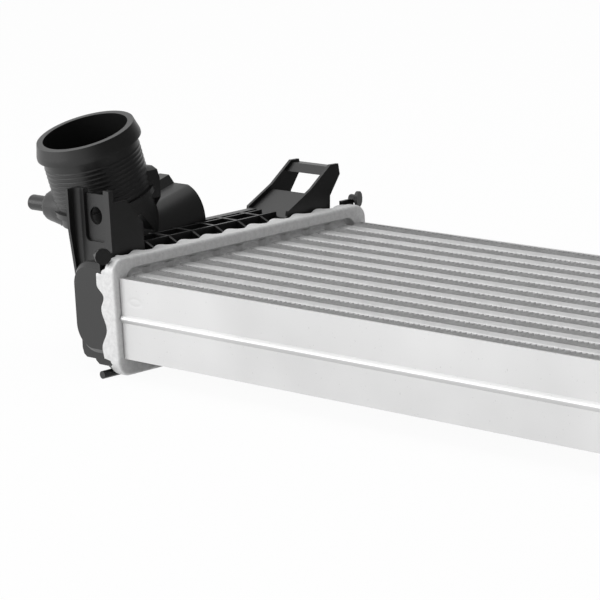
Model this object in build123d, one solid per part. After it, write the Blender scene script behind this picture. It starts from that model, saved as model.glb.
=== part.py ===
from build123d import *
import math
import os

# Charge air cooler, lying with its air face up: flat tubes and folded fins between two drawn headers,
# and a moulded tank crimped on each end. Millimetres. X runs along the tubes, Y across the stack of
# tubes, Z through the depth of the core. It is modelled with x = 0 at the face of the left header and
# z = 0 at the middle of the core, and moved to its resting place at the end.

# Core
core_length = 600.0
core_depth = 40.0
tube_count = 10
tube_height = 7.4
fin_height = 8.0
tube_wall = 0.5
tube_nose = 1.6
tube_reach = 8.0
braze_gap = 0.03
fin_sheet = 0.3
fin_waves = 4
fin_setback = 0.5
fin_end_gap = 3.0
turbulator_sheet = 0.25
turbulator_waves = 2
turbulator_margin = 2.5

# Side plates
plate_sheet = 1.2
plate_end_gap = 0.6
bead_half_width = 2.7
bead_rise = 1.7

# Headers
header_sheet = 1.2
header_side_margin = 3.3
header_face_margin = 9.2
header_corner = 7.0
header_bend = 2.2
ring_side_width = 8.0
ring_face_width = 5.2
ring_inner_corner = 6.0
pan_depth = 5.0
crimp_depth = 12.4
crimp_wave = 3.8
crimp_end_depth = 13.9
crimp_corner_depth = 7.0
crimp_straight = 8.5
crimp_corner_height = 7.7
ferrule_width = 1.2
ferrule_rise = 1.2

# Gaskets
gasket_height = 2.0
gasket_clearance = 0.2

# Tank shell
foot_clearance = 0.25
shoulder_sheet = 2.6
tank_wall = 3.0
tank_depth = 37.5
tank_top = 25.0
tank_bottom = 20.5
tank_end_inset = 3.5
tank_top_round = 12.0
tank_bottom_round = 14.0
tank_end_round = 2.5

# Lattice of ribs round the shell
rib_sheet = 1.4
rib_back = tank_depth + 6.0
rib_front_height = 25.0
rib_shelf_height = 30.0
rib_end_level = -6.0
rib_rows = (tank_depth - 15.9, tank_depth - 4.9, tank_depth + 2.8)
rib_back_drop = 7.0
rib_foot_drop = 9.0
rib_back_levels = (13.0, -2.0)

# Hose neck, leaning outwards along the stack, and the duct at its foot
neck_lean = 15.5
neck_from_middle = 24.4
neck_bore = 44.0
neck_outer = 49.2
mouth_height = 92.0
mouth_outer = 50.4
bead_outer = 54.0
bead_flare = 6.5
bead_length = 7.8
collar_outer = 52.4
collar_height = 54.0
collar_length = 3.0
foot_height = 48.4
foot_reach = 1.5
column_outer = 48.0
column_bottom = 24.0
knee_height = 36.0
knee_reach = 7.5
saddle_top = 61.5
saddle_waist = 46.0
saddle_bottom = 36.0
saddle_back = -18.5
saddle_length = 11.5
saddle_half_width = 20.4
saddle_foot_half_width = 12.0
saddle_round = 5.5
saddle_step = 1.6
duct_end = 8.0
duct_middle = 30.2
duct_half_height = 16.8
duct_half_width = 23.2
duct_flat = 0.6
duct_sink = 0.3
duct_run = 40.0
duct_wall = 3.0
neck_x = -(tank_depth + duct_half_width - duct_sink)
ridge_half_width = 3.6
ridge_foot_half_width = 7.4
ridge_rise = 3.7
ridge_offset = -7.1
throat_half_length = 22.0
throat_middle = -22.0
throat_top = 24.0
throat_bottom = -12.0
throat_reach = 8.5

# Small pipe beside the neck
nipple_outer = 8.0
nipple_bore = 4.6
nipple_root = 15.0
nipple_boss = 15.0
nipple_boss_length = 11.0
nipple_height = 54.7
nipple_side = 13.6
nipple_length = 11.5

# Bracket with a spring nut seat, beside the near end of the tank
bracket_face_inset = 11.0
bracket_sheet = 3.0
bracket_front = 13.0
bracket_top = 60.0
bracket_panel_top = 57.5
bracket_hole = 9.0
bracket_hole_depth = 25.3
bracket_hole_height = 46.8
seat_left = 32.3
seat_right = 17.2
seat_bottom = 34.0
seat_sink = 1.5
seat_corner = 3.0
flange_sheet = 1.8
flange_stand = 5.6
flange_knee = 40.0
flange_foot_stand = 2.0
flange_foot = 7.4
flange_fillet = 3.0
gusset_sheet = 2.0
gusset_top = 54.0
gusset_reach = 20.7
gusset_drop = 12.5
gusset_chamfer = 9.5

# Loop bracket beside the far end of the tank
loop_front = 13.0
loop_back = tank_depth + 7.0
loop_sheet = 1.8
loop_cheek = ((41, 22), (43, 30.7), (60, 39.5), (74.5, 50), (80, 49.8), (80.7, 44.2), (73, 34), (72, 22))
loop_web = ((41, 27.5), (59.5, 37), (60.2, 34.8), (43, 24))
loop_bar = ((70.5, 44.8), (75, 48.6), (79.5, 48.6), (79.5, 46.2), (73.5, 44.8))
loop_stop = ((60.5, 24), (60.5, 33), (62.7, 33), (62.7, 24))
loop_near = 42.0

# Corner lugs of the tank
lug_disc = 8.3
lug_splay = 25.0
lug_disc_sheet = 1.6
lug_out = 0.4
lug_up = 1.5
lug_stem = 4.6
lug_sides = 12
peg_diameter = 4.0
peg_reach = 3.2
peg_drop = 1.0

# Derived core sizes
tube_pitch = tube_height + fin_height
stack_half = (tube_count * tube_height + (tube_count + 1) * fin_height) / 2
depth_half = core_depth / 2
header_half_y = stack_half + plate_sheet + header_side_margin
header_half_z = depth_half + header_face_margin
tank_end = header_half_y - tank_end_inset
foot_half_y = header_half_y - header_sheet - foot_clearance
foot_half_z = header_half_z - header_sheet - foot_clearance
foot_front = -(header_sheet + gasket_height)
pan_half_y = header_half_y - ring_side_width
pan_half_z = header_half_z - ring_face_width
header_inner_bend = header_bend - 0.6 * header_sheet
crimp_trough = crimp_depth - crimp_wave
shoulder_front = -crimp_trough + foot_clearance
shoulder_back = shoulder_front - shoulder_sheet


def tube_y(index):
    return (index - (tube_count - 1) / 2) * tube_pitch


def fin_y(index):
    return (index - tube_count / 2) * tube_pitch


def slab(half_y, half_z, corner, x_low, x_high):
    outline = RectangleRounded(2 * half_y, 2 * half_z, corner)
    return extrude(Plane.YZ.offset(x_low) * outline, amount=x_high - x_low)


def octagon(half_y, half_z, corner, x_low, x_high):
    outline = Rectangle(2 * half_y, 2 * half_z)
    outline = chamfer(outline.vertices(), corner)
    return extrude(Plane.YZ.offset(x_low) * outline, amount=x_high - x_low)


def box_between(x_pair, y_pair, z_pair):
    pairs = [sorted(pair) for pair in (x_pair, y_pair, z_pair)]
    sizes = [high - low for low, high in pairs]
    middle = [(high + low) / 2 for low, high in pairs]
    return Pos(*middle) * Box(*sizes)


def flat_tube_face(half_height, half_depth, nose):
    # Straight broad sides, with the edges of each nose broken.
    outline = Rectangle(2 * half_height, 2 * half_depth)
    return chamfer(outline.vertices(), nose)


def flat_tube_bar(grow, x_low, x_high):
    face = flat_tube_face(tube_height / 2 + grow, depth_half + grow, tube_nose)
    return extrude(Plane.YZ.offset(x_low) * face, amount=x_high - x_low)


def wave_strip(length, height, sheet, waves):
    # A folded sheet seen end on: a zigzag of constant thickness, centred on the origin.
    run = length / (2 * waves)
    lift = sheet * math.hypot(run, height) / run / 2
    crest = height / 2
    middle = [(-length / 2 + i * run, crest if i % 2 else -crest) for i in range(2 * waves + 1)]
    upper = [(x, min(crest, y + lift) if y > 0 else y + 2 * lift) for x, y in middle]
    lower = [(x, y - 2 * lift if y > 0 else max(-crest, y - lift)) for x, y in middle]
    return make_face(Polyline(*upper, *reversed(lower), close=True))


def tube(index):
    long = flat_tube_bar(0, -tube_reach, core_length + tube_reach)
    hollow = flat_tube_bar(-tube_wall, -tube_reach, core_length + tube_reach)
    return Pos(0, tube_y(index), 0) * (long - hollow)


def turbulator(index):
    inner = tube_height - 2 * (tube_wall + braze_gap)
    width = core_depth - 2 * turbulator_margin
    strip = Rot(0, 0, 90) * wave_strip(width, inner, turbulator_sheet, turbulator_waves)
    return Pos(0, tube_y(index), 0) * extrude(Plane.YZ * strip, amount=core_length)


def fin_row(index):
    length = core_length - 2 * fin_end_gap
    strip = wave_strip(length, fin_height - 2 * braze_gap, fin_sheet, fin_waves)
    row = extrude(strip, amount=depth_half - fin_setback, both=True)
    return Pos(core_length / 2, fin_y(index), 0) * row


def side_plate(side):
    # A flat sheet with one bead pressed outwards along its middle.
    outer = -(stack_half + plate_sheet)
    inner = -stack_half
    inner_half = bead_half_width - plate_sheet / 2
    outline = [
        Line((outer, -depth_half), (outer, -bead_half_width)),
        ThreePointArc((outer, -bead_half_width), (outer - bead_rise, 0), (outer, bead_half_width)),
        Line((outer, bead_half_width), (outer, depth_half)),
        Line((outer, depth_half), (inner, depth_half)),
        Line((inner, depth_half), (inner, inner_half)),
        ThreePointArc((inner, inner_half), (inner - bead_rise, 0), (inner, -inner_half)),
        Line((inner, -inner_half), (inner, -depth_half)),
        Line((inner, -depth_half), (outer, -depth_half)),
    ]
    section = Plane.YZ.offset(plate_end_gap) * make_face(Wire(outline))
    plate = extrude(section, amount=core_length - 2 * plate_end_gap)
    return plate if side < 0 else mirror(plate, Plane.XZ)


def crimp_long_cutter():
    # Behind the wavy edge of the two long walls: a crest over each inner fin row.
    crest_count = tube_count - 1
    flat = tube_pitch / 8
    points = []
    for i in range(2 * crest_count + 1):
        y = (i - crest_count) * tube_pitch / 2
        x = -crimp_depth if i % 2 else -crimp_trough
        points += [(x, y - flat), (x, y + flat)]
    limit = header_half_y - crimp_straight
    far = -crimp_end_depth - 1
    points += [(-crimp_trough, limit), (far, limit), (far, -limit), (-crimp_trough, -limit)]
    outline = make_face(Polyline(*points, close=True))
    return extrude(outline, amount=header_half_z + 1, both=True)


def crimp_end_cutter():
    # Behind the three tabs of an end wall: a long one at the top, a short one and a middle one.
    limit = header_half_z - crimp_corner_height
    far = -crimp_end_depth - 1
    tabs = [
        (far, limit),
        (-crimp_end_depth, limit),
        (-crimp_end_depth, 0.75 * limit),
        (-crimp_trough - 0.4, 0.47 * limit),
        (-crimp_depth + 1.1, 0.17 * limit),
        (-crimp_trough + 0.4, -0.28 * limit),
        (-crimp_depth, -0.72 * limit),
        (-crimp_depth, -limit),
        (far, -limit),
    ]
    face = make_face(Polyline(*tabs, close=True))
    width = ring_side_width + 1
    near = extrude(Plane.XZ.offset(header_half_y - width) * face, amount=2 * width)
    return near + mirror(near, Plane.XZ)


def header():
    # Drawn pan: a floor with a slot for each tube, a ring that stands proud of it, and an outer wall
    # whose wavy edge is crimped over the foot of the tank.
    skin = slab(header_half_y, header_half_z, header_corner, -crimp_end_depth, 0)
    skin = chamfer(skin.faces().sort_by(Axis.X)[-1].edges(), header_bend)
    hollow = octagon(
        header_half_y - header_sheet,
        header_half_z - header_sheet,
        header_corner / 2,
        -crimp_end_depth,
        -header_sheet,
    )
    hollow = chamfer(hollow.faces().sort_by(Axis.X)[-1].edges(), header_inner_bend)
    pan = octagon(
        pan_half_y + header_sheet,
        pan_half_z + header_sheet,
        ring_inner_corner / 2,
        -pan_depth - header_sheet,
        -header_sheet / 2,
    )
    pocket = slab(pan_half_y, pan_half_z, ring_inner_corner, -pan_depth, 0)
    body = skin - hollow + pan - pocket
    body -= crimp_long_cutter()
    body -= crimp_end_cutter()
    for side in (-1, 1):
        for face in (-1, 1):
            body -= box_between(
                (-crimp_end_depth - 1, -crimp_corner_depth),
                (side * (header_half_y - crimp_straight), side * (header_half_y + 1)),
                (face * (header_half_z - crimp_corner_height), face * (header_half_z + 1)),
            )
    collar = flat_tube_face(tube_height / 2 + ferrule_width, depth_half + ferrule_width, tube_nose)
    collar = extrude(Plane.YZ.offset(-pan_depth) * collar, amount=ferrule_rise)
    slot = flat_tube_bar(braze_gap, -pan_depth - 2 * header_sheet, 0)
    for i in range(tube_count):
        body += Pos(0, tube_y(i), 0) * collar
    for i in range(tube_count):
        body -= Pos(0, tube_y(i), 0) * slot
    return body


def gasket():
    outer_drop = header_sheet + header_inner_bend + gasket_clearance
    outer = octagon(
        header_half_y - outer_drop,
        header_half_z - outer_drop,
        header_corner / 2,
        foot_front,
        -header_sheet,
    )
    inner = octagon(
        pan_half_y + header_sheet + gasket_clearance,
        pan_half_z + header_sheet + gasket_clearance,
        ring_inner_corner / 2,
        foot_front - 1,
        0,
    )
    return outer - inner


def shell_face(grow):
    # Section of the tank across the stack, seen along Y: flat to the header, rounded at the back.
    top = tank_top + grow
    bottom = -tank_bottom - grow
    back = -tank_depth - grow
    front = shoulder_back + 1
    outline = make_face(Polyline((front, bottom), (front, top), (back, top), (back, bottom), close=True))
    corners = outline.vertices().group_by(Axis.X)[0].sort_by(Axis.Y)
    outline = fillet(corners[-1], tank_top_round + grow)
    corners = outline.vertices().filter_by(lambda v: v.Y < bottom + 0.01).sort_by(Axis.X)
    return fillet(corners[0], tank_bottom_round + grow)


def along_y(face, y_low, y_high):
    # A face drawn with x and z as its two axes, swept from one y to another.
    return extrude(Plane.XZ.offset(-y_high) * face, amount=y_high - y_low)


def shell_outside():
    body = along_y(shell_face(0), -tank_end, tank_end)
    for end in (0, -1):
        rim = body.faces().sort_by(Axis.Y)[end].edges()
        rim = rim.filter_by(lambda e: e.center().X < shoulder_back + 0.5)
        body = chamfer(rim, tank_end_round)
    return body


def foot():
    # Lip that stands on the gasket, and the shoulder under the crimped edge.
    return octagon(foot_half_y, foot_half_z, header_corner / 2, shoulder_back, foot_front)


def beside_duct(y):
    return abs(y - throat_middle) < throat_half_length + tube_pitch / 2


def cross_rib(y):
    # Rises from the foot, runs level over the top and comes down the back.
    inside = -tank_depth + tank_wall / 2
    back = inside if beside_duct(y) else -rib_back
    points = [
        (shoulder_back + 1, rib_front_height),
        (-rib_rows[0], rib_shelf_height),
        (max(back, -rib_rows[-1]), rib_shelf_height),
        (back, rib_shelf_height - rib_back_drop),
        (back, tank_top - tank_wall / 2),
        (shoulder_back + 1, tank_top - tank_wall / 2),
    ]
    if back < inside:
        low = tank_top - tank_top_round
        points[4:5] = [(back, rib_end_level), (inside, rib_end_level - rib_foot_drop), (inside, low)]
        points.insert(-1, (-tank_depth + tank_top_round, tank_top - tank_wall / 2))
    outline = make_face(Polyline(*points, close=True))
    return along_y(outline, y - rib_sheet / 2, y + rib_sheet / 2)


def lattice(y_low, y_high):
    # Crossing ribs: one over each inner fin row, and long ones along the top and the back.
    ribs = []
    for i in range(tube_count + 1):
        if y_low + rib_sheet < fin_y(i) < y_high - rib_sheet:
            ribs.append(cross_rib(fin_y(i)))
    half = rib_sheet / 2
    low = tank_top - tank_wall / 2
    inside = -tank_depth + tank_wall / 2
    for row in rib_rows[:-1]:
        ribs.append(box_between((-row - half, -row + half), (y_low, y_high), (low, rib_shelf_height)))
    duct_low_y = throat_middle - throat_half_length - tube_pitch / 2
    duct_high_y = throat_middle + throat_half_length + tube_pitch / 2
    for y_pair in ((y_low, duct_low_y), (duct_high_y, y_high)):
        if y_pair[1] - y_pair[0] > tube_pitch:
            row = rib_rows[-1]
            shelf = (rib_shelf_height - rib_sheet, rib_shelf_height)
            ribs.append(box_between((-row - half, inside), y_pair, shelf))
            for level in rib_back_levels:
                ribs.append(box_between((-rib_back, inside), y_pair, (level - half, level + half)))
    return ribs


# The neck's own frame: local X is X, local Y runs along the duct, local Z along the neck.
lean = math.radians(neck_lean)
along = (0, math.cos(lean), math.sin(lean))
upward = (0, -math.sin(lean), math.cos(lean))
neck_origin = tuple(
    base - neck_from_middle * a for base, a in zip((neck_x, 0, 0), along)
)
neck_plane = Plane(origin=neck_origin, x_dir=(1, 0, 0), z_dir=upward)


def duct_face(shrink):
    # Section of the duct, square to its run: two half rounds, with the top planed flat.
    half_height = duct_half_height - shrink
    outline = SlotOverall(2 * (duct_half_width - shrink), 2 * half_height)
    plane_off = Pos(0, 2 * half_height - duct_flat) * Rectangle(2 * duct_half_width, 2 * half_height)
    return outline - plane_off


def ridge_face():
    # Ridge along the duct's flat top.
    base = duct_half_height - duct_flat
    points = [
        (ridge_offset - ridge_foot_half_width, base - duct_wall / 2),
        (ridge_offset - ridge_foot_half_width, base),
        (ridge_offset - ridge_half_width, base + ridge_rise),
        (ridge_offset + ridge_half_width, base + ridge_rise),
        (ridge_offset + ridge_foot_half_width, base),
        (ridge_offset + ridge_foot_half_width, base - duct_wall / 2),
    ]
    return make_face(Polyline(*points, close=True))


def knee_cutter(shrink):
    # Seen from the side, everything on the near side of the duct's sloping front.
    far = -mouth_height
    points = [
        (far, far),
        (knee_reach + shrink, far),
        (knee_reach + shrink, knee_height),
        (foot_reach + shrink, foot_height + shrink),
        (far, foot_height + shrink),
    ]
    side_plane = Plane(origin=neck_plane.origin, x_dir=along, z_dir=(1, 0, 0))
    return extrude(side_plane * make_face(Polyline(*points, close=True)), amount=neck_outer, both=True)


def duct(shrink, ridged=False):
    # A run from the upright closed end down to the neck, and a column up to it with a sloping front.
    downwards = tuple(-a for a in along)
    section_plane = Plane(origin=(neck_x, duct_end, duct_middle), x_dir=(1, 0, 0), z_dir=downwards)
    section = duct_face(shrink)
    if ridged:
        section += ridge_face()
    run = extrude(section_plane.offset(-duct_half_height) * section, amount=duct_run + duct_half_height)
    reach = 2 * duct_half_width
    beyond = box_between(
        (neck_x - reach, neck_x + reach),
        (duct_end - shrink, duct_end + reach),
        (duct_middle - reach, duct_middle + reach),
    )
    bottom = column_bottom + shrink
    column_height = foot_height + 1.5 * shrink - bottom
    column = neck_plane * Pos(0, 0, bottom + column_height / 2)
    column = column * Cylinder(column_outer / 2 - shrink, column_height)
    return run - beyond + column - knee_cutter(shrink)


def neck_revolve(points):
    half = make_face(Polyline(*points, close=True))
    return revolve(neck_plane * (Rot(90, 0, 0) * half), Axis(neck_plane.origin, neck_plane.z_dir), 360)


def neck_outside(full):
    # From the foot up to the bead round the mouth, with a collar and a shoulder if full.
    points = [
        (0, foot_height),
        (neck_outer / 2, foot_height),
        (neck_outer / 2, mouth_height - bead_length),
        (bead_outer / 2, mouth_height - bead_length),
        (bead_outer / 2, mouth_height - bead_flare),
        (mouth_outer / 2, mouth_height),
        (0, mouth_height),
    ]
    if full:
        collar_top = collar_height + collar_length
        collar = [(neck_outer / 2, collar_height), (collar_outer / 2, collar_height)]
        collar += [(collar_outer / 2, collar_top), (neck_outer / 2, collar_top)]
        points[2:2] = collar
        return neck_revolve(points) + saddle()
    return neck_revolve(points)


def neck_inside():
    low = foot_height + duct_wall
    length = mouth_height + 1 - low
    return neck_plane * Pos(0, 0, low + length / 2) * Cylinder(neck_bore / 2, length)


def throat(shrink):
    # Passage from the duct through the back wall into the tank.
    points = [
        (neck_x, throat_top),
        (-tank_depth + 3 * tank_wall, throat_top),
        (-tank_depth + 3 * tank_wall, throat_bottom),
        (-tank_depth - throat_reach, throat_bottom),
        (neck_x, throat_bottom + 2 * throat_reach),
    ]
    outline = make_face(Polyline(*points, close=True))
    if shrink:
        outline = offset(outline, amount=-shrink, kind=Kind.INTERSECTION)
    reach = throat_half_length - shrink
    return along_y(outline, throat_middle - reach, throat_middle + reach)


def saddle():
    # Square shoulder behind the neck, narrowing down to the flat top of the duct.
    right_half = [
        (saddle_half_width - saddle_round, saddle_top),
        (saddle_half_width - saddle_step, saddle_top - saddle_step),
        (saddle_half_width, saddle_top - saddle_round),
        (saddle_half_width, saddle_waist),
        (saddle_foot_half_width, saddle_bottom),
    ]
    points = [(neck_x + x, z) for x, z in right_half]
    points += [(neck_x - x, z) for x, z in reversed(right_half)]
    outline = make_face(Polyline(*points, close=True))
    return along_y(outline, saddle_back - saddle_length, saddle_back)


def nipple_parts():
    # Small pipe that leaves the foot of the neck towards the back.
    origin = neck_plane.from_local_coords((-nipple_root, -nipple_side, nipple_height))
    axis_plane = Plane(origin=origin, x_dir=(0, 1, 0), z_dir=(-1, 0, 0))
    reach = nipple_length + nipple_root
    pipe = axis_plane * Pos(0, 0, reach / 2) * Cylinder(nipple_outer / 2, reach)
    boss = extrude(axis_plane * RegularPolygon(nipple_boss / 2, lug_sides), amount=nipple_boss_length)
    bore = axis_plane * Pos(0, 0, reach / 2) * Cylinder(nipple_bore / 2, reach + 2)
    return pipe + boss, bore


def nut_bracket():
    # Upright plate with a sunk seat for a spring nut, a flange towards the end and a gusset behind.
    face = -header_half_y + bracket_face_inset
    back = face + bracket_sheet
    low = tank_top - tank_wall
    plate = box_between((-tank_depth, -bracket_front), (face, back), (low, bracket_top))
    flange_points = [
        (back, flange_foot),
        (face - flange_foot_stand, flange_foot),
        (face - flange_stand, flange_knee),
        (face - flange_stand, bracket_top),
        (back, bracket_top),
    ]
    flange = make_face(Polyline(*flange_points, close=True))
    flange = extrude(Plane.YZ.offset(-tank_depth - flange_sheet) * flange, amount=flange_sheet)
    seat = box_between(
        (-seat_left, -seat_right),
        (face - 1, face + seat_sink),
        (seat_bottom, bracket_top + 1),
    )
    corner = seat.edges().filter_by(Axis.Y).group_by(Axis.Z)[0]
    seat = fillet(corner, seat_corner)
    above = box_between(
        (-seat_left, -seat_right),
        (face - 1, back + 1),
        (bracket_panel_top, bracket_top + 1),
    )
    bracket = plate + flange
    corner_point = (-tank_depth, face, bracket_top / 2)
    inner_edge = bracket.edges().filter_by(Axis.Z).sort_by_distance(corner_point)[0]
    bracket = fillet(inner_edge, flange_fillet)
    bracket = bracket - seat - above
    gusset_points = [
        (face, tank_top - tank_wall),
        (face, gusset_top),
        (face + gusset_reach - gusset_chamfer, gusset_top),
        (face + gusset_reach, gusset_top - gusset_drop),
        (face + gusset_reach, tank_top - tank_wall),
    ]
    outline = Plane.YZ.offset(-bracket_front - gusset_sheet) * make_face(
        Polyline(*gusset_points, close=True)
    )
    bracket += extrude(outline, amount=gusset_sheet)
    hole = Pos(-bracket_hole_depth, (face + back) / 2, bracket_hole_height)
    bracket -= hole * Rot(90, 0, 0) * Cylinder(bracket_hole / 2, 4 * bracket_sheet)
    return bracket


def loop_bracket():
    # Two sloping cheeks joined by a web, with a window between the web and a bar at the tip.
    cheek = make_face(Polyline(*loop_cheek, close=True))
    pieces = []
    for x_low in (-loop_front - loop_sheet, -loop_back):
        pieces.append(extrude(Plane.YZ.offset(x_low) * cheek, amount=loop_sheet))
    for points in (loop_web, loop_bar, loop_stop):
        face = make_face(Polyline(*points, close=True))
        pieces.append(extrude(Plane.YZ.offset(-loop_back) * face, amount=loop_back - loop_front))
    return pieces


def corner_lugs():
    lugs = []
    for side in (-1, 1):
        y = side * (header_half_y + lug_out)
        z = header_half_z + lug_up
        disc_back = -crimp_corner_depth + foot_clearance
        disc = extrude(RegularPolygon(lug_disc / 2, lug_sides), amount=lug_disc_sheet)
        lugs.append(Pos(disc_back, y, z) * Rot(0, 0, side * lug_splay) * Rot(0, 90, 0) * disc)
        stem = RegularPolygon(lug_stem / 2, lug_sides)
        stem = extrude(stem, amount=disc_back - shoulder_back)
        lugs.append(Pos(shoulder_back, y, z) * Rot(0, 90, 0) * stem)
        tab_y = side * (header_half_y - crimp_straight + foot_clearance)
        tab_z = header_half_z - crimp_corner_height + foot_clearance
        lugs.append(
            box_between((shoulder_back, shoulder_front - 1), (tab_y, y), (tab_z, z))
        )
        peg_y = side * (header_half_y + peg_reach)
        peg_z = -header_half_z - peg_drop + peg_diameter / 2
        peg_x = (shoulder_back + shoulder_front) / 2
        peg_inner = side * (header_half_y - crimp_straight + foot_clearance)
        peg = extrude(RegularPolygon(peg_diameter / 2, lug_sides), amount=abs(peg_y - peg_inner))
        lugs.append(Pos(peg_x, peg_inner, peg_z) * Rot(-90 * side, 0, 0) * peg)
    return lugs


def end_tank(with_mounts):
    # One moulding: shell, foot, ribs, neck and duct, and on the first tank its two brackets and pipe.
    body = shell_outside() + foot()
    rib_high = tank_end - tank_end_round - rib_sheet
    rib_low = -rib_high
    if with_mounts:
        rib_low = -header_half_y + bracket_face_inset + gusset_reach - gusset_sheet
        rib_high = loop_near
    for rib in lattice(rib_low, rib_high):
        body += rib
    body += duct(0, ridged=with_mounts)
    body += throat(0)
    body += neck_outside(with_mounts)
    if with_mounts:
        body += nut_bracket()
        for piece in loop_bracket():
            body += piece
        pipe, pipe_bore = nipple_parts()
        body += pipe
    for lug in corner_lugs():
        body += lug
    body -= along_y(shell_face(-tank_wall), -tank_end + tank_wall, tank_end - tank_wall)
    mouth = octagon(
        pan_half_y + header_sheet + foot_clearance,
        pan_half_z + header_sheet + foot_clearance,
        ring_inner_corner / 2,
        shoulder_front,
        foot_front + 1,
    )
    body -= mouth
    inlet = box_between(
        (shoulder_back - 1, shoulder_front + 1),
        (-tank_end + tank_wall, tank_end - tank_wall),
        (-tank_bottom + tank_wall, tank_top - tank_wall),
    )
    body -= inlet
    body -= duct(duct_wall)
    body -= throat(duct_wall)
    body -= neck_inside()
    if with_mounts:
        body -= pipe_bore
    return body


half_turn = Pos(core_length, 0, 0) * Rot(0, 0, 180)
nodes = {
    "header_plate_left": header(),
    "gasket_left": gasket(),
    "end_tank_left": end_tank(True),
    "side_plate_near": side_plate(-1),
    "side_plate_far": side_plate(1),
}
nodes["header_plate_right"] = half_turn * nodes["header_plate_left"]
nodes["gasket_right"] = half_turn * nodes["gasket_left"]
nodes["end_tank_right"] = half_turn * end_tank(False)
for i in range(tube_count):
    nodes[f"tube_{i + 1:02d}"] = tube(i)
    nodes[f"turbulator_{i + 1:02d}"] = turbulator(i)
for i in range(tube_count + 1):
    nodes[f"fin_row_{i + 1:02d}"] = fin_row(i)

# The part rests on the pegs under its four corners, and its origin is below the middle of its box.
bounds = Compound([solid for part in nodes.values() for solid in part.solids()]).bounding_box()
rest = Pos(-bounds.center().X, -bounds.center().Y, -bounds.min.Z)

os.makedirs("parts", exist_ok=True)
for name, part in nodes.items():
    export_step(rest * part, f"parts/{name}.step")
print("moved by", rest.position, "box", bounds.size)
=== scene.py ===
import math

import bmesh
import bpy
import numpy as np
from mathutils import Matrix, Vector


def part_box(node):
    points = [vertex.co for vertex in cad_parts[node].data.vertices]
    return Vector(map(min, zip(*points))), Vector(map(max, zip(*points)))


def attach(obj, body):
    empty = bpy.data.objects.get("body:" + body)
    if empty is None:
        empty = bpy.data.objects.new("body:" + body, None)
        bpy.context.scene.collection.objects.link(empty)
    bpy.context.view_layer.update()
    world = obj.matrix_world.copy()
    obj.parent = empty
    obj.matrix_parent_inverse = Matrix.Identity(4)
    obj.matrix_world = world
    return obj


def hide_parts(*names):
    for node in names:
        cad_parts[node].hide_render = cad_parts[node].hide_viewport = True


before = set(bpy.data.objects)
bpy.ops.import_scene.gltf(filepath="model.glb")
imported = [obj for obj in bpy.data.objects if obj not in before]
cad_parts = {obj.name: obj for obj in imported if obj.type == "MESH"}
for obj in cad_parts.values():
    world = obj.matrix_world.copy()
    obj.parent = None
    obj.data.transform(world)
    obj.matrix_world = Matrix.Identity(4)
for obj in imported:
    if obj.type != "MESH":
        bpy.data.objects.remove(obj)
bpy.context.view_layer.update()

# Drawing frame of the intercooler, in mm: x = 0 at the face of the left header ring, y = 0 in the
# middle of the stack of tubes, z = 0 at half the depth of the core. Everything below is drawn in it.
mm = 0.001
ringLow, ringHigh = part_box("header_plate_left")
drawingOrigin = np.array([ringHigh[0], 0.0, (ringLow[2] + ringHigh[2]) / 2])
coreLength = (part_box("header_plate_right")[0][0] - ringHigh[0]) / mm

# Points nearer than this, in metres, are one point.
mergeReach = 0.001 * mm


def toFrame(points):
    return np.asarray(points, float) * mm + drawingOrigin


# Materials

def srgb(code):
    # Hex to linear: below 0.04045 a straight line, above it a power of 2.4.
    value = np.array([int(code[i : i + 2], 16) / 255 for i in (1, 3, 5)])
    value = np.where(value <= 0.04045, value / 12.92, ((value + 0.055) / 1.055) ** 2.4)
    return (*value.tolist(), 1.0)


def addNode(tree, kind, settings=None, inputs=None):
    # Adds one node. inputs maps a socket to a plain value, or to another node's output.
    node = tree.nodes.new(kind)
    for key, value in (settings or {}).items():
        setattr(node, key, value)
    for key, value in (inputs or {}).items():
        if isinstance(value, bpy.types.NodeSocket):
            tree.links.new(value, node.inputs[key])
        else:
            node.inputs[key].default_value = value
    return node


def newMaterial(name, plain):
    material = bpy.data.materials.new(name)
    material.use_nodes = True
    tree = material.node_tree
    shader = tree.nodes["Principled BSDF"]
    for key, value in plain.items():
        shader.inputs[key].default_value = value
    return material, tree, shader


def millimetres(tree):
    # Object coordinates in mm, so that a pattern's scale is written as a real size.
    place = addNode(tree, "ShaderNodeTexCoord")
    scaled = addNode(tree, "ShaderNodeVectorMath", {"operation": "SCALE"}, {0: place.outputs["Object"]})
    scaled.inputs["Scale"].default_value = 1 / mm
    return scaled.outputs["Vector"]


def ramp(tree, factor, stops):
    node = addNode(tree, "ShaderNodeValToRGB", None, {"Fac": factor})
    elements = node.color_ramp.elements
    while len(elements) < len(stops):
        elements.new(0.5)
    for element, (position, code) in zip(elements, stops):
        element.position = position
        element.color = srgb(code)
    return node.outputs["Color"]


def noise(tree, vector, sizeMm, detail=2.0, roughness=0.5):
    node = addNode(
        tree,
        "ShaderNodeTexNoise",
        None,
        {"Vector": vector, "Scale": 1 / sizeMm, "Detail": detail, "Roughness": roughness},
    )
    return node.outputs["Fac"]


def bump(tree, shader, height, depthMm, strength=1.0):
    node = addNode(
        tree,
        "ShaderNodeBump",
        None,
        {"Height": height, "Distance": depthMm * mm, "Strength": strength},
    )
    tree.links.new(node.outputs["Normal"], shader.inputs["Normal"])


def brazedAluminium(name, light, dark, roughness, grainMm, metallic=0.8):
    # Aluminium from the brazing furnace: pale, matte, faintly mottled where flux has dried on it.
    material, tree, shader = newMaterial(name, {"Metallic": metallic, "Roughness": roughness})
    place = millimetres(tree)
    mottle = noise(tree, place, grainMm, 5.0, 0.62)
    tree.links.new(ramp(tree, mottle, [(0.36, dark), (0.62, light)]), shader.inputs["Base Color"])
    bump(tree, shader, noise(tree, place, 0.9, 3.0), 0.02)
    return material


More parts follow.
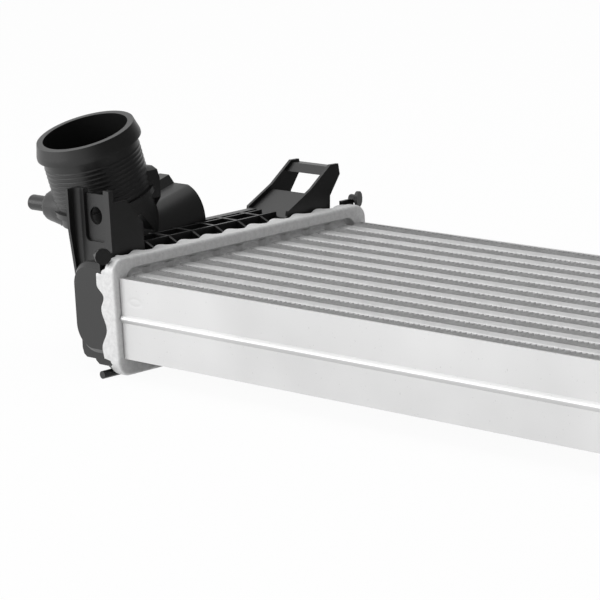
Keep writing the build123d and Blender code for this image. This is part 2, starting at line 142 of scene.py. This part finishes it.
def rolledSheet(name):
    # Rolled aluminium side sheet after brazing: smooth and satin, with faint clouds and few tiny pits.
    material, tree, shader = newMaterial(name, {"Metallic": 0.8, "Roughness": 0.42})
    place = millimetres(tree)
    soft = ramp(tree, noise(tree, place, 60.0, 2.0), [(0.3, "#cccccc"), (0.7, "#d6d6d6")])
    pits = ramp(tree, noise(tree, place, 1.3, 1.0), [(0.225, "#9a9a9a"), (0.26, "#ffffff")])
    mixed = addNode(
        tree,
        "ShaderNodeMix",
        {"data_type": "RGBA", "blend_type": "MULTIPLY"},
        {0: 0.25, 6: soft, 7: pits},
    )
    tree.links.new(mixed.outputs[2], shader.inputs["Base Color"])
    bump(tree, shader, noise(tree, place, 2.5, 2.0), 0.015)
    return material


def glassFilledNylon(name):
    # Black glass filled nylon, injection moulded: near black, satin, with a fine even grain.
    material, tree, shader = newMaterial(
        name,
        {"Base Color": srgb("#121212"), "Metallic": 0.0, "Roughness": 0.38, "IOR": 1.55},
    )
    place = millimetres(tree)
    bump(tree, shader, noise(tree, place, 0.8, 2.0), 0.02)
    return material


def mouldedRubber(name):
    # Silicone gasket cord: black and matte.
    return newMaterial(name, {"Base Color": srgb("#101010"), "Roughness": 0.8, "IOR": 1.43})[0]


finish = {
    "header": brazedAluminium("brazedHeaderAluminium", "#e0e0e0", "#d2d2d2", 0.55, 2.2, 0.35),
    "tube": brazedAluminium("extrudedTubeAluminium", "#d0d0d0", "#c6c6c6", 0.5, 6.0, 0.6),
    "fin": brazedAluminium("foldedFinAluminium", "#dedede", "#d0d0d0", 0.6, 3.0, 0.25),
    "plate": rolledSheet("rolledSideAluminium"),
    "tank": glassFilledNylon("glassFilledNylon"),
    "seal": mouldedRubber("siliconeRubber"),
}
print("materials made")


# Surfaces

def gridFaces(rows, columns, wrapRows, wrapColumns, start):
    # Quads between neighbouring points of a grid, as whole index arrays.
    index = start + np.arange(rows * columns).reshape(rows, columns)
    if wrapRows:
        index = np.vstack([index, index[:1]])
    if wrapColumns:
        index = np.hstack([index, index[:, :1]])
    quads = [index[:-1, :-1], index[1:, :-1], index[1:, 1:], index[:-1, 1:]]
    return np.stack(quads, axis=-1).reshape(-1, 4)


def surfacePiece(name, sheets, kind, nodes=()):
    # Each sheet is a grid of points in mm, rows by columns by 3, then whether its rows and its columns
    # close on themselves. All sheets go into one mesh.
    allPoints, allFaces, start = [], [], 0
    for points, wrapRows, wrapColumns in sheets:
        rows, columns, _ = points.shape
        allFaces.append(gridFaces(rows, columns, wrapRows, wrapColumns, start))
        allPoints.append(points.reshape(-1, 3))
        start += rows * columns
    mesh = bpy.data.meshes.new(name)
    mesh.from_pydata(toFrame(np.vstack(allPoints)).tolist(), [], np.vstack(allFaces).tolist())
    work = bmesh.new()
    work.from_mesh(mesh)
    bmesh.ops.remove_doubles(work, verts=work.verts, dist=mergeReach)
    bmesh.ops.dissolve_degenerate(work, edges=work.edges, dist=mergeReach / 10)
    bmesh.ops.recalc_face_normals(work, faces=work.faces)
    work.to_mesh(mesh)
    work.free()
    return dress(name, mesh, kind, nodes)


def dress(name, mesh, kind, nodes, sharpDegrees=35.0):
    # Gives a mesh its shading, material and body, and hides the CAD nodes that it stands in for.
    mesh.shade_smooth()
    mesh.set_sharp_from_angle(angle=math.radians(sharpDegrees))
    mesh.materials.clear()
    mesh.materials.append(finish[kind])
    piece = bpy.data.objects.new(name, mesh)
    bpy.context.collection.objects.link(piece)
    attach(piece, "root")
    if nodes:
        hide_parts(*nodes)
    return piece


def cadPiece(name, node, kind):
    # The CAD node's own shape, with its doubled points merged so that round faces shade smoothly.
    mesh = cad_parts[node].data.copy()
    mesh.name = name
    work = bmesh.new()
    work.from_mesh(mesh)
    bmesh.ops.remove_doubles(work, verts=work.verts, dist=mergeReach)
    work.to_mesh(mesh)
    work.free()
    if "custom_normal" in mesh.attributes:
        mesh.attributes.remove(mesh.attributes["custom_normal"])
    return dress(name, mesh, kind, (node,), sharpDegrees=24.0)


def halfTurn(points):
    # The right end of the cooler is the left one turned half a turn about the middle of the core.
    return np.asarray(points) * [-1, -1, 1] + [coreLength, 0, 0]


def closedBar(sections):
    # Loops of points carried along a path, with each end drawn together to its middle point.
    sections = np.asarray(sections, float)
    first = np.broadcast_to(sections[0].mean(axis=0), sections[0].shape)
    last = np.broadcast_to(sections[-1].mean(axis=0), sections[-1].shape)
    return np.concatenate([first[None], sections, last[None]])


def closedPlate(section):
    # Joins the two faces at each end by folding the end loop onto the line half way through the sheet.
    ends = []
    for loop in (section[0], section[-1]):
        ends.append((loop + loop[::-1]) / 2)
    return np.concatenate([ends[0][None], section, ends[1][None]])


# Core

core = {
    "tubeCount": 10,
    "pitch": 15.4,
    "tubeHeight": 7.4,
    "depth": 40.0,
    "tubeWall": 0.5,
    "tubeReach": 7.95,
    "noseRound": 1.5,
    "finHeight": 7.94,
    "finDepth": 39.6,
    "finPitch": 3.2,
    "finSheet": 0.14,
    "finStart": 0.7,
    "foldPhase": [0.0, 0.04, 0.46, 0.5, 0.54, 0.96],
    "foldLevel": [1.0, 0.98, -0.98, -1.0, -0.98, 0.98],
}


def flatTubeLoop(grow=0.0, perCorner=5):
    # Rounded rectangle in y and z: corner centres plus a radius turned through a quarter each.
    radius = core["noseRound"] + grow
    halfY = core["tubeHeight"] / 2 + grow - radius
    halfZ = core["depth"] / 2 + grow - radius
    turn = np.linspace(0, math.pi / 2, perCorner)
    quarters = np.arange(4) * math.pi / 2
    angle = (quarters[:, None] + turn[None]).ravel()
    signs = np.repeat(np.array([[1, 1], [-1, 1], [-1, -1], [1, -1]]), perCorner, axis=0)
    y = signs[:, 0] * halfY + radius * np.cos(angle)
    z = signs[:, 1] * halfZ + radius * np.sin(angle)
    return np.stack([y, z], axis=1)


def makeTubes():
    # The outline carried along x from end to end, and back inside the wall.
    loop = flatTubeLoop()
    inner = loop * (1 - core["tubeWall"] / np.abs(loop).max(axis=0))
    reach = core["tubeReach"]
    for i in range(core["tubeCount"]):
        y = (i - (core["tubeCount"] - 1) / 2) * core["pitch"]
        rings = []
        far = coreLength + reach
        for x, outline in ((-reach, inner), (-reach, loop), (far, loop), (far, inner)):
            rings.append(np.column_stack([np.full(len(outline), x), outline[:, 0] + y, outline[:, 1]]))
        node = f"tube_{i + 1:02d}"
        surfacePiece(f"flatTube{i + 1:02d}", [(np.array(rings), True, True)], "tube", (node,))


def foldedFin(y, start, end):
    # A zigzag line in x and y with narrow blunt folds, given as height against phase of one wave. The
    # sheet is that line offset by half its thickness each way.
    waves = round((end - start) / core["finPitch"])
    phase, level = np.array(core["foldPhase"]), np.array(core["foldLevel"])
    half = core["finHeight"] / 2 - core["finSheet"] / 2
    x = start + ((np.arange(waves)[:, None] + phase[None]) * (end - start) / waves).ravel()
    line = np.column_stack([x, y + half * np.tile(level, waves)])
    along = np.gradient(line, axis=0)
    normal = np.column_stack([-along[:, 1], along[:, 0]])
    normal /= np.linalg.norm(normal, axis=1)[:, None]
    upper = line + normal * core["finSheet"] / 2
    lower = line - normal * core["finSheet"] / 2
    limit = core["finHeight"] / 2
    for edge in (upper, lower):
        edge[:, 1] = np.clip(edge[:, 1], y - limit, y + limit)
    deep = core["finDepth"] / 2
    corners = []
    for edge, z in ((upper, deep), (upper, -deep), (lower, -deep), (lower, deep)):
        corners.append(np.column_stack([edge, np.full(len(edge), z)]))
    return closedBar(np.stack(corners, axis=1))


def makeFins():
    start = core["finStart"]
    for i in range(core["tubeCount"] + 1):
        y = (i - core["tubeCount"] / 2) * core["pitch"]
        sheet = foldedFin(y, start, coreLength - start)
        surfacePiece(f"foldedFin{i + 1:02d}", [(sheet, False, True)], "fin", (f"fin_row_{i + 1:02d}",))


makeTubes()
makeFins()
print("tubes and fins made")


# Side sheets

sidePlate = {
    "face": 82.2,
    "thickness": 1.2,
    "halfDepth": 20.0,
    "endGap": 0.6,
    "beadHalf": 2.1,
    "beadRise": 1.15,
    "beadBlunt": 0.35,
    "dimpleX": 11.0,
    "dimpleZ": 9.0,
    "dimpleLength": 4.4,
    "dimpleHeight": 1.8,
    "dimpleDepth": 0.06,
    "dimpleSpread": 0.22,
    "fineEnd": 30.0,
    "fineBand": 3.1,
}


def plateSurface(x, z):
    # Distance outwards: a bead along the middle with two flat flanks, a hyperbola whose crest is blunt,
    # and a shallow oval groove near each end.
    blunt = sidePlate["beadBlunt"]
    full = math.hypot(1, blunt)
    flank = (full - np.hypot(z / sidePlate["beadHalf"], blunt)) / (full - blunt)
    bead = sidePlate["beadRise"] * np.clip(flank, 0, 1)
    nearEnd = np.minimum(x, coreLength - x)
    oval = np.hypot(
        (nearEnd - sidePlate["dimpleX"]) / sidePlate["dimpleLength"],
        (z - sidePlate["dimpleZ"]) / sidePlate["dimpleHeight"],
    )
    groove = np.exp(-(((oval - 1) / sidePlate["dimpleSpread"]) ** 2))
    return bead - sidePlate["dimpleDepth"] * groove


def makeSidePlates():
    # The grid is fine at both ends, where the grooves are, and over the bead, and coarse elsewhere.
    fineEnd, fineBand, deep = sidePlate["fineEnd"], sidePlate["fineBand"], sidePlate["halfDepth"]
    ends = np.linspace(sidePlate["endGap"], fineEnd, 60)
    middle = np.linspace(fineEnd + 5, coreLength - fineEnd - 5, 40)
    x = np.concatenate([ends, middle, coreLength - ends[::-1]])
    below = np.linspace(-deep, -fineBand - 0.3, 14)
    above = np.linspace(fineBand + 0.3, deep, 34)
    z = np.concatenate([below, np.linspace(-fineBand, fineBand, 32), above])
    gridX, gridZ = np.meshgrid(x, z, indexing="ij")
    rise = plateSurface(gridX, gridZ)
    for side, node in ((-1, "side_plate_near"), (1, "side_plate_far")):
        outer = np.stack([gridX, side * (sidePlate["face"] + rise), gridZ], axis=-1)
        inner = outer - [0, side * sidePlate["thickness"], 0]
        section = np.concatenate([outer, inner[:, ::-1]], axis=1)
        name = "sideSheetNear" if side < 0 else "sideSheetFar"
        surfacePiece(name, [(closedPlate(section), False, True)], "plate", (node,))


makeSidePlates()
print("side sheets made")


# Headers

header = {
    "halfY": 85.5,
    "halfZ": 29.2,
    "corner": 7.0,
    "sheet": 1.2,
    "bend": 1.6,
    "openY": 77.5,
    "openZ": 23.4,
    "openCorner": 6.0,
    "lip": 0.6,
    "panDepth": 3.9,
    "edgeMiddle": 11.0,
    "edgeWave": 0.9,
    "waveEnd": 72.0,
    "waveFade": 5.0,
    "waveEndReach": 8.4,
    "valleyPress": 1.4,
    "pressReach": 0.6,
    "rim": 0.3,
    "cornerEdge": 7.0,
    "panFillet": 1.6,
    "panOverlap": 3.0,
    "ferruleRise": 2.6,
    "ferruleWidth": 0.9,
}
# Edge of the two end walls, read down the photograph's near one: height, and distance back.
endWallEdge = np.array(
    [
        [-29.2, 4.8],
        [-24.9, 4.8],
        [-21.4, 6.9],
        [-20.6, 11.6],
        [-16.0, 12.4],
        [-6.0, 8.2],
        [3.8, 11.3],
        [10.0, 9.0],
        [15.9, 13.7],
        [21.3, 13.6],
        [22.6, 9.6],
        [26.3, 7.2],
        [29.2, 7.0],
    ]
)


def roundedLoop(halfY, halfZ, corner, perSide=(240, 60), perCorner=9):
    # Four straight sides and four quarter turns, with the same number of points for every loop.
    y, z = halfY - corner, halfZ - corner
    alongY = np.linspace(-1, 1, perSide[0])
    alongZ = np.linspace(-1, 1, perSide[1])
    turn = np.linspace(0, math.pi / 2, perCorner + 2)[1:-1]
    parts = []
    corners = ((1, 1, 0), (-1, 1, 1), (-1, -1, 2), (1, -1, 3))
    straights = (
        np.column_stack([np.full(perSide[1], halfY), alongZ * z]),
        np.column_stack([-alongY * y, np.full(perSide[0], halfZ)]),
        np.column_stack([np.full(perSide[1], -halfY), -alongZ * z]),
        np.column_stack([alongY * y, np.full(perSide[0], -halfZ)]),
    )
    for straight, (signY, signZ, quarter) in zip(straights, corners):
        angle = quarter * math.pi / 2 + turn
        arc = np.column_stack([signY * y + corner * np.cos(angle), signZ * z + corner * np.sin(angle)])
        parts += [straight, arc]
    return np.vstack(parts)


def eased(value, table):
    # Between table rows the curve follows half a cosine, so that it is level at each row.
    slot = np.clip(np.searchsorted(table[:, 0], value) - 1, 0, len(table) - 2)
    low, high = table[slot], table[slot + 1]
    share = np.clip((value - low[:, 0]) / (high[:, 0] - low[:, 0]), 0, 1)
    return low[:, 1] + (high[:, 1] - low[:, 1]) * (0.5 - 0.5 * np.cos(math.pi * share))


def waveFade(y):
    # 0 along the long walls, rising in a straight line to 1 before the corners.
    return np.clip((np.abs(y) - header["waveEnd"]) / header["waveFade"], 0, 1)


def crimpEdge(outline):
    # How far back the wall reaches: a cosine with its crests over the fins on the long walls, and the
    # tabs of the end walls.
    y, z = outline[:, 0], outline[:, 1]
    wave = header["edgeMiddle"] + header["edgeWave"] * np.cos(2 * math.pi * y / core["pitch"])
    fade = waveFade(y)
    wave = wave * (1 - fade) + header["waveEndReach"] * fade
    wave = np.where(np.abs(y) > header["waveEnd"] + header["waveFade"], header["cornerEdge"], wave)
    return np.where(np.abs(y) > header["halfY"] - 0.2, eased(z, endWallEdge), wave)


def valleyShare(outline):
    # 1 in the valleys of the wave and 0 on its crests, fading out before the corners and end walls.
    y = outline[:, 0]
    valley = 0.5 - 0.5 * np.cos(2 * math.pi * y / core["pitch"])
    return valley * (1 - waveFade(y))


def headerRows():
    # Loops of one closed sheet: up the outside of the wall, round the bend, over the ring's face, down
    # into the pan, and back along the hidden side.
    halfY, halfZ, corner = header["halfY"], header["halfZ"], header["corner"]
    bend, sheet, lip, rim = header["bend"], header["sheet"], header["lip"], header["rim"]
    outer = roundedLoop(halfY, halfZ, corner)
    edge = crimpEdge(outer)
    centre = roundedLoop(halfY - 5, halfZ - 5, 2.0)
    inwards = centre - outer
    inwards /= np.linalg.norm(inwards, axis=1)[:, None]

    def row(outline, x):
        return np.column_stack([np.broadcast_to(x, len(outline)), outline])

    # The crimping tool presses the valleys inwards, and the press fades out towards the bend.
    press = inwards * (header["valleyPress"] * valleyShare(outer))[:, None]
    rows = [row(outer + press + inwards * sheet, -edge + rim * 0.5)]
    rows.append(row(outer + press + inwards * rim * 1.5, -edge))
    rows.append(row(outer + press + inwards * rim * 0.4, -edge + rim))
    for share in (0.1, 0.2, 0.32, 0.45, 0.6, 0.8):
        fade = 0.5 + 0.5 * math.cos(math.pi * min(share / header["pressReach"], 1))
        rows.append(row(outer + press * fade, -edge + rim + share * (edge - rim - bend)))
    for angle in np.linspace(0, math.pi / 2, 8):
        inset = bend * (1 - math.cos(angle))
        loop = roundedLoop(halfY - inset, halfZ - inset, max(corner - inset, 1.0))
        rows.append(row(loop, -bend + bend * math.sin(angle)))
    openY, openZ, openCorner = header["openY"], header["openZ"], header["openCorner"]
    for angle in np.linspace(0, math.pi / 2, 6):
        outset = lip * (1 - math.sin(angle))
        loop = roundedLoop(openY + outset, openZ + outset, openCorner + outset)
        rows.append(row(loop, -lip + lip * math.cos(angle)))
    floor, fillet = -header["panDepth"], header["panFillet"]
    for angle in np.linspace(0, math.pi / 2, 5):
        inset = fillet * (1 - math.cos(angle))
        loop = roundedLoop(openY - inset, openZ - inset, openCorner - inset)
        rows.append(row(loop, floor + fillet - fillet * math.sin(angle)))
    flat = fillet + 0.3
    inner = roundedLoop(openY - header["panOverlap"], openZ - flat, openCorner - flat)
    rows.append(row(inner, floor))
    rows.append(row(inner, floor - sheet))
    rows.append(row(roundedLoop(openY + sheet, openZ + sheet, openCorner + sheet), floor - sheet))
    rows.append(row(roundedLoop(openY + sheet, openZ + sheet, openCorner + sheet), -sheet))
    under = roundedLoop(halfY - sheet, halfZ - sheet, corner - sheet)
    rows.append(row(roundedLoop(halfY - sheet - 2, halfZ - sheet - 2, corner - sheet - 2), -sheet))
    rows.append(row(under, -sheet - 2))
    rows.append(row(under, -edge * 0.7))
    return np.array(rows)


def ferruleFloor():
    # Height field over the pan: each tube stands in a soft collar whose height falls off with the
    # distance from the tube's outline.
    y = np.linspace(-header["openY"] + 0.3, header["openY"] - 0.3, 420)
    besideTubes = np.linspace(core["depth"] / 2 - 3, header["openZ"] - 0.1, 34)
    alongTubes = core["depth"] / 2 - 4
    z = np.concatenate([-besideTubes[::-1], np.linspace(-alongTubes, alongTubes, 9), besideTubes])
    gridY, gridZ = np.meshgrid(y, z, indexing="ij")
    local = (gridY + core["pitch"] * core["tubeCount"] / 2) % core["pitch"] - core["pitch"] / 2
    radius = core["noseRound"]
    besideY = np.maximum(np.abs(local) - core["tubeHeight"] / 2 + radius, 0)
    besideZ = np.maximum(np.abs(gridZ) - core["depth"] / 2 + radius, 0)
    away = np.hypot(besideY, besideZ) - radius
    # Beside the stack there is no tube, so the collars end there.
    inStack = np.abs(gridY) < core["pitch"] * core["tubeCount"] / 2
    away = np.where(inStack, away, core["pitch"])
    rise = header["ferruleRise"] * np.exp(-((np.maximum(away, 0) / header["ferruleWidth"]) ** 2))
    front = np.stack([-header["panDepth"] + rise, gridY, gridZ], axis=-1)
    back = front - [header["sheet"], 0, 0]
    return closedPlate(np.concatenate([front, back[:, ::-1]], axis=1))


def makeHeaders():
    rows = headerRows()
    floor = ferruleFloor()
    surfacePiece("headerLeft", [(rows, True, True), (floor, False, True)], "header", ("header_plate_left",))
    surfacePiece(
        "headerRight",
        [(halfTurn(rows), True, True), (halfTurn(floor), False, True)],
        "header",
        ("header_plate_right",),
    )


makeHeaders()
print("headers made")


# Tanks, seals and the strips inside the tubes keep the CAD shape.

cadPiece("tankLeft", "end_tank_left", "tank")
cadPiece("tankRight", "end_tank_right", "tank")
cadPiece("gasketLeft", "gasket_left", "seal")
cadPiece("gasketRight", "gasket_right", "seal")
for i in range(core["tubeCount"]):
    cadPiece(f"turbulator{i + 1:02d}", f"turbulator_{i + 1:02d}", "fin")


# Fine work on the tanks

neck = {
    "leanDegrees": 15.5,
    "footX": -60.4,
    "fromMiddle": 24.4,
    "outer": 24.6,
    "ringLow": 58.9,
    "ringHigh": 79.9,
    "ringCount": 9,
    "ringRise": 0.28,
    "ringSharpness": 1.5,
    "ringFoot": 0.03,
    "sink": 0.5,
}
leanAngle = math.radians(neck["leanDegrees"])
alongDuct = np.array([0.0, math.cos(leanAngle), math.sin(leanAngle)])
upNeck = np.array([0.0, -math.sin(leanAngle), math.cos(leanAngle)])
neckFoot = np.array([neck["footX"], 0, 0]) - neck["fromMiddle"] * alongDuct


def neckSurface(radius, height, angle):
    # Turned form about the leaning axis: radius and height in the neck's own frame.
    cosine, sine = np.cos(angle)[None, :, None], np.sin(angle)[None, :, None]
    radius, height = radius[:, None, None], height[:, None, None]
    return neckFoot + radius * (cosine * np.array([1.0, 0, 0]) + sine * alongDuct) + height * upNeck


def makeNeckRings():
    # Hose seat rings: the radius follows a power of a raised cosine along the neck, and both ends sink
    # into it.
    share = np.linspace(0, 1, neck["ringCount"] * 10 + 1)
    height = neck["ringLow"] + share * (neck["ringHigh"] - neck["ringLow"])
    wave = 0.5 - 0.5 * np.cos(2 * math.pi * neck["ringCount"] * share)
    radius = neck["outer"] - neck["ringFoot"] + neck["ringRise"] * wave ** neck["ringSharpness"]
    inside = neck["outer"] - neck["sink"]
    radius = np.concatenate([radius, [inside, inside]])
    height = np.concatenate([height, [neck["ringHigh"], neck["ringLow"]]])
    points = neckSurface(radius, height, np.linspace(0, 2 * math.pi, 97)[:-1])
    surfacePiece("hoseSeatRingsLeft", [(points, True, True)], "tank")
    surfacePiece("hoseSeatRingsRight", [(halfTurn(points), True, True)], "tank")


pipeRoot = {
    "height": 54.7,
    "side": -13.6,
    "rootX": -74.3,
    "wall": 23.4,
    "profile": [
        [6.0, -14.0],
        [9.8, -14.0],
        [9.6, 1.0],
        [9.3, 3.0],
        [8.7, 6.5],
        [8.3, 9.5],
        [8.0, 10.9],
        [7.2, 11.9],
        [5.6, 12.25],
        [4.02, 12.3],
        [3.9, 11.0],
    ],
}


def makePipeRoot():
    # The pipe swells into the neck: radius against distance from its root, turned about the pipe's axis.
    radius, reach = np.array(pipeRoot["profile"]).T
    angle = np.linspace(0, 2 * math.pi, 49)[:-1]
    centre = neckFoot + pipeRoot["side"] * alongDuct + pipeRoot["height"] * upNeck
    # No point goes deeper than the middle of the neck's wall, so that the neck's bore stays clear.
    offset = pipeRoot["side"] + radius[:, None] * np.cos(angle)
    wall = neck["footX"] - np.sqrt(np.maximum(pipeRoot["wall"] ** 2 - offset**2, 0))
    x = (pipeRoot["rootX"] - reach)[:, None]
    points = np.zeros((len(radius), len(angle), 3))
    points[..., 0] = np.minimum(x, wall)
    points[..., 1] = centre[1] + radius[:, None] * np.cos(angle)
    points[..., 2] = centre[2] + radius[:, None] * np.sin(angle)
    surfacePiece("pipeRootLeft", [(points, True, True)], "tank")


endRibs = {
    "sheet": 1.4,
    "back": {
        "y": -73.4,
        "edge": [[-36, -12], [-42.4, -15], [-42.6, -21.5], [-41.6, -24.6], [-39.4, -26]],
        "foot": [[-31, -26], [-31, -17]],
    },
    "front": {
        "y": -74.6,
        "edge": [[-31.9, -18], [-32, -23.6], [-31, -26.4], [-28.6, -28.1]],
        "foot": [[-11, -28.1], [-11, -18]],
    },
}


def makeEndRibs():
    # Two thin ribs that stand out below the near end of the shell: flat outlines in x and z, with a
    # blunt corner. Their feet lie inside the shell.
    for place in ("back", "front"):
        rib = endRibs[place]
        outline = np.array(rib["edge"] + rib["foot"], float)
        loops = []
        for y in (rib["y"], rib["y"] + endRibs["sheet"]):
            loops.append(np.column_stack([outline[:, 0], np.full(len(outline), y), outline[:, 1]]))
        surfacePiece(f"{place}EndRib", [(closedBar(loops), False, True)], "tank")


makeNeckRings()
makePipeRoot()
makeEndRibs()
print("tanks made")


# Stage, light and camera

studio = {
    "floorReach": 6.0,
    "floorColour": "#f4f4f4",
    "floorGlow": 0.95,
    "worldFill": 0.55,
    "darkWay": (0.763, 0.458, 0.458),
    "darkFrom": -0.1,
    "darkTo": 0.6,
    "darkSide": 0.15,
    "lampTarget": (0, 0, 0.05),
    "nearSideLamp": {"place": (-1.3, -1.7, 0.55), "size": (1.8, 1.0), "watts": 17.0},
    "topLamp": {"place": (-0.6, -0.2, 1.9), "size": (1.4, 1.4), "watts": 12.0},
}


def rayKinds(tree):
    # First 1 for what the camera or a clear surface sees, then 1 for what a mirror sees.
    path = addNode(tree, "ShaderNodeLightPath")
    camera, clear = path.outputs["Is Camera Ray"], path.outputs["Is Transmission Ray"]
    direct = addNode(tree, "ShaderNodeMath", {"operation": "MAXIMUM"}, {0: camera, 1: clear})
    return direct.outputs[0], path.outputs["Is Glossy Ray"]


def roomShare(tree, glossy, direction, forwards):
    # The studio is white on the side of the backdrop and dim behind the camera, where nothing is lit. A
    # mirror sees this: the share falls with how far the ray points along darkWay. It is 1 for all else.
    way = tuple(forwards * value for value in studio["darkWay"])
    along = addNode(tree, "ShaderNodeVectorMath", {"operation": "DOT_PRODUCT"}, {0: direction, 1: way})
    share = addNode(
        tree,
        "ShaderNodeMapRange",
        None,
        {
            "Value": along.outputs["Value"],
            "From Min": studio["darkFrom"],
            "From Max": studio["darkTo"],
            "To Min": 0.0,
            "To Max": 1.0 - studio["darkSide"],
        },
    )
    loss = addNode(tree, "ShaderNodeMath", {"operation": "MULTIPLY"}, {0: share.outputs[0], 1: glossy})
    return addNode(tree, "ShaderNodeMath", {"operation": "SUBTRACT"}, {0: 1.0, 1: loss.outputs[0]}).outputs[0]


def whitePaper(name):
    # Matte white paper: it takes the object's shadow, and glows a little for the camera and in mirrors,
    # so that it melts into the white backdrop.
    material = bpy.data.materials.new(name)
    material.use_nodes = True
    tree = material.node_tree
    tree.nodes.clear()
    direct, glossy = rayKinds(tree)
    geometry = addNode(tree, "ShaderNodeNewGeometry")
    room = roomShare(tree, glossy, geometry.outputs["Incoming"], -1.0)
    paper = addNode(tree, "ShaderNodeBsdfDiffuse", None, {"Color": srgb(studio["floorColour"])})
    glow = addNode(tree, "ShaderNodeEmission", None, {"Color": (1, 1, 1, 1), "Strength": 1.0})
    dark = addNode(tree, "ShaderNodeEmission", None, {"Color": (0, 0, 0, 1), "Strength": 0.0})
    seen = addNode(tree, "ShaderNodeMath", {"operation": "MAXIMUM"}, {0: direct, 1: glossy})
    share = addNode(
        tree,
        "ShaderNodeMath",
        {"operation": "MULTIPLY"},
        {0: seen.outputs[0], 1: studio["floorGlow"]},
    )
    lit = addNode(
        tree,
        "ShaderNodeMixShader",
        None,
        {0: share.outputs[0], 1: paper.outputs[0], 2: glow.outputs[0]},
    )
    mixed = addNode(tree, "ShaderNodeMixShader", None, {0: room, 1: dark.outputs[0], 2: lit.outputs[0]})
    addNode(tree, "ShaderNodeOutputMaterial", None, {"Surface": mixed.outputs[0]})
    return material


def makeFloor():
    mesh = bpy.data.meshes.new("studioFloor")
    reach = studio["floorReach"]
    corners = [(-reach, -reach, 0), (reach, -reach, 0), (reach, reach, 0), (-reach, reach, 0)]
    mesh.from_pydata(corners, [], [(0, 1, 2, 3)])
    mesh.materials.append(whitePaper("whitePaperFloor"))
    floor = bpy.data.objects.new("studioFloor", mesh)
    bpy.context.collection.objects.link(floor)


def makeWorld():
    # White where the camera or a mirror sees it, and a weaker even light on everything else.
    world = bpy.data.worlds.new("studioWorld")
    bpy.context.scene.world = world
    world.use_nodes = True
    tree = world.node_tree
    tree.nodes.clear()
    direct, glossy = rayKinds(tree)
    place = addNode(tree, "ShaderNodeTexCoord")
    room = roomShare(tree, glossy, place.outputs["Generated"], 1.0)
    seen = addNode(tree, "ShaderNodeMath", {"operation": "MAXIMUM"}, {0: direct, 1: glossy})
    fill = addNode(
        tree,
        "ShaderNodeMapRange",
        None,
        {"Value": seen.outputs[0], "To Min": studio["worldFill"], "To Max": 1.0},
    )
    strength = addNode(tree, "ShaderNodeMath", {"operation": "MULTIPLY"}, {0: room, 1: fill.outputs[0]})
    sky = addNode(
        tree,
        "ShaderNodeBackground",
        None,
        {"Color": (1, 1, 1, 1), "Strength": strength.outputs[0]},
    )
    addNode(tree, "ShaderNodeOutputWorld", None, {"Surface": sky.outputs[0]})


def softLamp(name):
    # A soft box: a rectangle of light that faces the object.
    settings = studio[name]
    lamp = bpy.data.lights.new(name, "AREA")
    lamp.shape = "RECTANGLE"
    lamp.size, lamp.size_y = settings["size"]
    lamp.energy = settings["watts"]
    holder = bpy.data.objects.new(name, lamp)
    bpy.context.collection.objects.link(holder)
    place, target = Vector(settings["place"]), Vector(studio["lampTarget"])
    turn = (place - target).to_track_quat("Z", "Y").to_matrix().to_4x4()
    holder.matrix_world = Matrix.Translation(place) @ turn


viewpoint = {
    "place": (1194.9, -1061.0, 333.7),
    "azimuth": 47.45,
    "elevation": 12.06,
    "roll": -3.2,
    "lens": 195.2,
    "sensor": 36.0,
}


def makeCamera():
    # Turned by azimuth about Z, tipped up from straight down, then rolled about its own line of sight.
    data = bpy.data.cameras.new("photoCamera")
    data.sensor_fit = "HORIZONTAL"
    data.sensor_width = viewpoint["sensor"]
    data.lens = viewpoint["lens"]
    data.clip_end = 50
    camera = bpy.data.objects.new("photoCamera", data)
    bpy.context.collection.objects.link(camera)
    turn = (
        Matrix.Rotation(math.radians(viewpoint["azimuth"]), 4, "Z")
        @ Matrix.Rotation(math.radians(90 - viewpoint["elevation"]), 4, "X")
        @ Matrix.Rotation(math.radians(viewpoint["roll"]), 4, "Z")
    )
    camera.matrix_world = Matrix.Translation(Vector(toFrame(viewpoint["place"]))) @ turn
    bpy.context.scene.camera = camera


makeFloor()
makeWorld()
softLamp("nearSideLamp")
softLamp("topLamp")
makeCamera()
bpy.context.scene.view_settings.view_transform = "Standard"
print("stage made")
